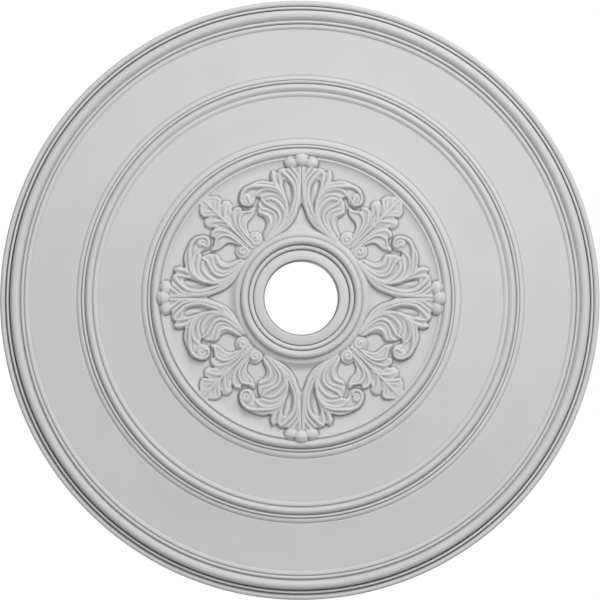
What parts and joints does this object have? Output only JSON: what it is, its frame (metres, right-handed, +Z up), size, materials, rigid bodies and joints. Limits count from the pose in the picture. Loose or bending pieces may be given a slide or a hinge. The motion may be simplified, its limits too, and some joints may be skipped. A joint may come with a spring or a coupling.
{
  "type": "ceiling rose",
  "caption": "Round moulded ceiling rose with stepped rings, an acanthus carving round a raised hub, and a plain hole through the middle for a lamp's rod or cable.",
  "frame": {"origin": "centre of the hole at the flat back, which lies on the ceiling", "axes": "+Z up along the hole into the ceiling; the moulded face looks down along -Z; +X and +Y point at two of the four knobs"},
  "size_m": [0.7999, 0.8, 0.038],
  "materials": {
    "primed_moulding": "moulded rigid urethane foam with a smooth matt white primer"
  },
  "bodies": {
    "root": {"ceiling_rose": "primed_moulding"}
  },
  "joints": []
}
